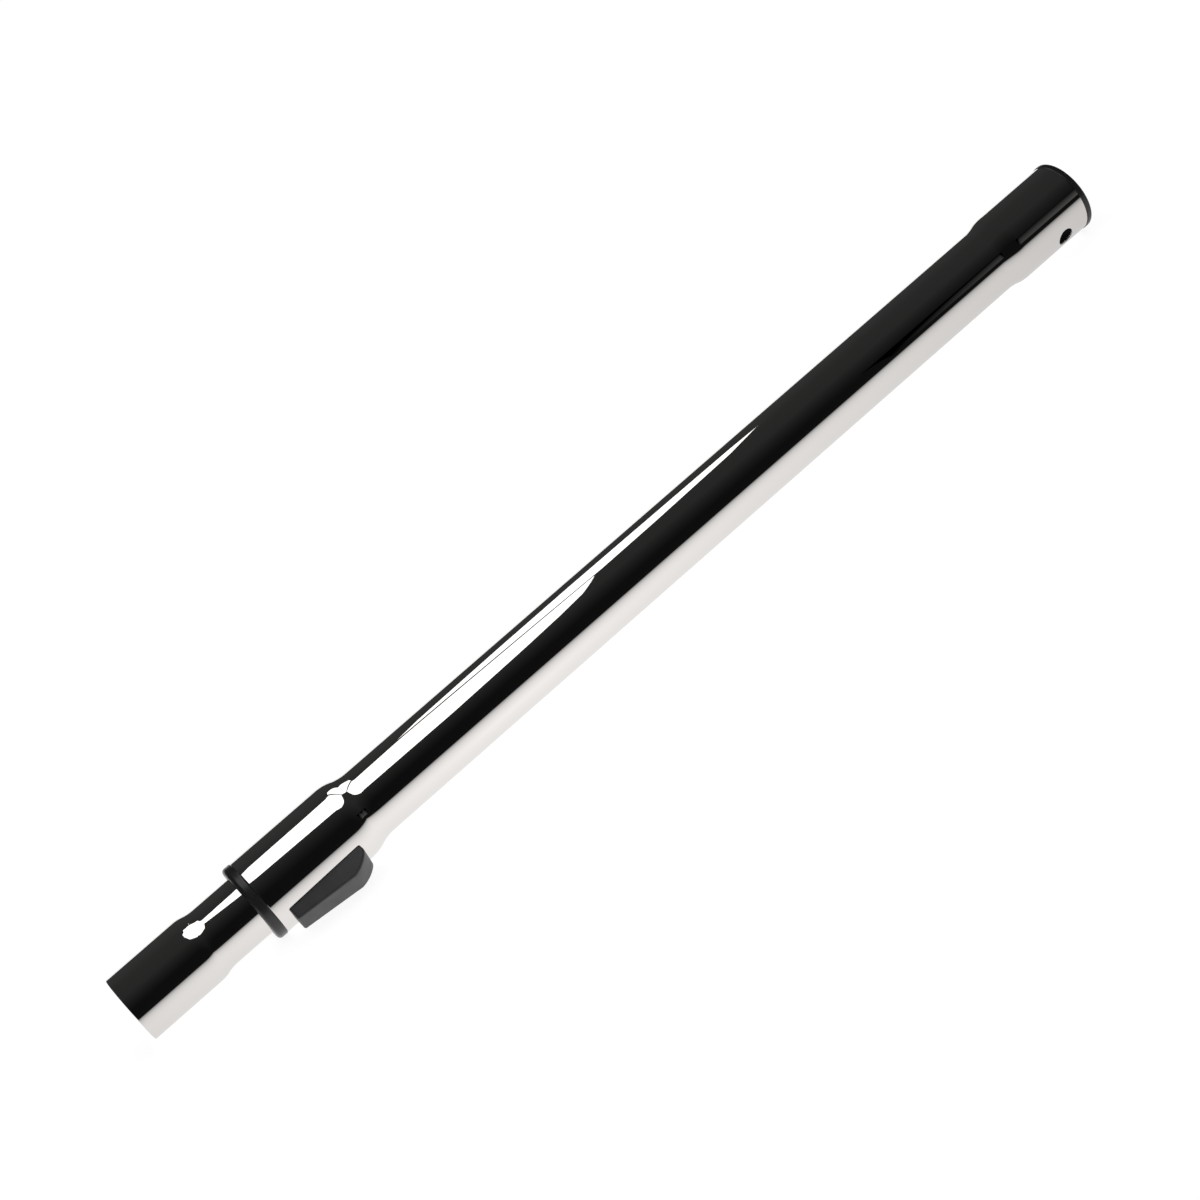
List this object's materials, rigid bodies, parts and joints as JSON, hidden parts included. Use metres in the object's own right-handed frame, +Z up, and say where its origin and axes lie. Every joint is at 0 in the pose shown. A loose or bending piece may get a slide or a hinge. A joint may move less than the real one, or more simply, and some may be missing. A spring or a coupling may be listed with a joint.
{
  "type": "telescopic vacuum wand",
  "caption": "Chromed steel telescopic vacuum cleaner wand, collapsed: an inner tube slides in an outer tube and locks in steps under a black slide button.",
  "frame": {"origin": "centre of the open tool end, on the wand's axis", "axes": "+X along the wand from the tool end to the handle socket, +Z up; the wand lies on its collar with the slide button down on the -Y side"},
  "size_m": [0.6087, 0.0481, 0.0412],
  "materials": {
    "chromed_steel": "polished",
    "collar_plastic": "satin",
    "rim_plastic": "satin",
    "button_plastic": "matte",
    "slide_plastic": "satin",
    "bush_plastic": "satin",
    "seal_rubber": "matte",
    "lock_steel": "satin",
    "spring_steel": "satin"
  },
  "bodies": {
    "wand_body": {"outer_tube": "chromed_steel", "guide_sleeve": "collar_plastic", "wiper_seal": "seal_rubber", "socket_liner": "rim_plastic", "return_spring_left": "spring_steel", "return_spring_right": "spring_steel"},
    "inner_wand": {"inner_tube": "chromed_steel", "rear_bush": "bush_plastic"},
    "release_button": {"slide_button": "button_plastic", "control_slide": "slide_plastic"},
    "lock_pawl": {"lock_pawl": "lock_steel", "pawl_pin": "lock_steel"}
  },
  "joints": [
    {"name": "telescope", "type": "slide", "parent": "wand_body", "child": "inner_wand", "axis": [-1, 0, 0], "range_m": [0, 0.384]},
    {"name": "button_slide", "type": "slide", "parent": "wand_body", "child": "release_button", "axis": [-1, 0, 0], "range_m": [0, 0.004], "stiffness_N_per_m": 500, "deforming": ["return_spring_left", "return_spring_right"]},
    {"name": "pawl_lift", "type": "slide", "parent": "wand_body", "child": "lock_pawl", "axis": [0, -0.8562, -0.5167], "range_m": [0, 0.0016]}
  ],
  "couplings": [
    {"joint": "pawl_lift", "follows": "button_slide", "ratio": 0.4}
  ]
}
